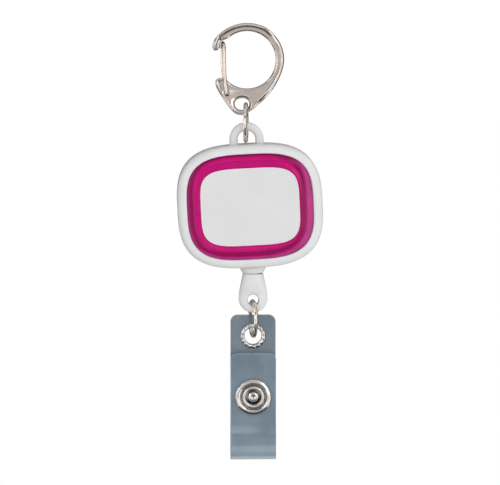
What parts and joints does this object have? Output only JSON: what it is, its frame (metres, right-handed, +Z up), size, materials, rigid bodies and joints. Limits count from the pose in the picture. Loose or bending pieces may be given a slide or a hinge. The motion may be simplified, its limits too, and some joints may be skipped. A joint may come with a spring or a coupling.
{
  "type": "retractable badge reel",
  "caption": "Badge reel with a spring-gate hook, ring-hung rounded case, sprung cord spool, drop-shaped end fitting, ring and folded clear strap with a snap",
  "frame": {"origin": "centre of the hook's round opening, at mid depth", "axes": "+X right and -Y towards the front seen by the user, +Z up; the reel hangs down from the origin"},
  "size_m": [0.0406, 0.0112, 0.1224],
  "materials": {
    "plated_casting": "polished plating over a die casting",
    "plated_wire": "polished plating on drawn wire",
    "plated_pressing": "polished plating on pressed sheet",
    "white_shell": "semi-gloss moulding",
    "magenta_insert": "gloss, tinted and slightly translucent",
    "blank_label": "satin label film",
    "spool_plastic": "natural acetal",
    "spring_steel": "bright strip",
    "cord": "braided nylon",
    "clear_vinyl": "smoky clear vinyl sheet"
  },
  "bodies": {
    "hook": {"hook_body": "plated_casting"},
    "gate": {"hook_gate": "plated_wire"},
    "upper_ring": {"upper_ring": "plated_wire"},
    "case": {"front_shell": "white_shell", "back_shell": "white_shell", "colour_insert": "magenta_insert", "label_panel": "blank_label", "cord_outlet": "white_shell"},
    "spool": {"spool_wheel": "spool_plastic", "mainspring": "spring_steel", "cord_winding": "cord", "cord_anchor_knot": "cord"},
    "cord_tip": {"cord_lead": "cord", "cord_end_knot": "cord"},
    "end_fitting": {"end_fitting": "white_shell"},
    "lower_ring": {"lower_ring": "plated_wire"},
    "strap": {"strap_rear_leaf": "clear_vinyl", "strap_eyelet": "plated_pressing", "eyelet_washer": "plated_pressing", "snap_stud": "plated_pressing", "snap_rear_rivet": "plated_pressing"},
    "strap_flap": {"strap_front_leaf": "clear_vinyl", "snap_cap": "plated_pressing", "snap_socket": "plated_pressing", "snap_spring": "spring_steel"}
  },
  "joints": [
    {"name": "gate_hinge", "type": "hinge", "parent": "hook", "child": "gate", "pos_m": [-0.0057, 0, -0.0092], "axis": [0, 1, 0], "range_deg": [0, 40], "stiffness_Nm_per_rad": 0.01, "springref_deg": -11.46},
    {"name": "ring_swing", "type": "hinge", "parent": "hook", "child": "upper_ring", "pos_m": [-0.00037, 0, -0.0146], "axis": [1, 0, 0], "range_deg": [-50, 50]},
    {"name": "case_swing", "type": "hinge", "parent": "upper_ring", "child": "case", "pos_m": [-0.00037, 0, -0.02236], "axis": [0, 1, 0], "range_deg": [-55, 55]},
    {"name": "cord_pull", "type": "slide", "parent": "case", "child": "cord_tip", "axis": [0, 0, -1], "range_m": [0, 0.6], "stiffness_N_per_m": 1.33, "springref_m": -0.3, "deforming": ["cord_lead"]},
    {"name": "spool_spin", "type": "hinge", "parent": "case", "child": "spool", "pos_m": [0.00071, 0, -0.04041], "axis": [0, 1, 0], "range_deg": [0, 2700], "deforming": ["mainspring"]},
    {"name": "fitting_swivel", "type": "hinge", "parent": "cord_tip", "child": "end_fitting", "pos_m": [0.00164, 0, -0.05951], "axis": [0, 0, 1], "continuous": true},
    {"name": "lower_ring_swing", "type": "hinge", "parent": "end_fitting", "child": "lower_ring", "pos_m": [0.00164, 0, -0.06749], "axis": [0, 1, 0], "range_deg": [-45, 45]},
    {"name": "strap_swing", "type": "hinge", "parent": "lower_ring", "child": "strap", "pos_m": [0.00164, 0, -0.07723], "axis": [1, 0, 0], "range_deg": [-40, 40]},
    {"name": "flap_open", "type": "hinge", "parent": "strap", "child": "strap_flap", "pos_m": [0.00164, -0.0013, -0.11208], "axis": [1, 0, 0], "range_deg": [0, 150]}
  ],
  "couplings": [
    {"joint": "spool_spin", "follows": "cord_pull", "rad_per_m": 78}
  ]
}
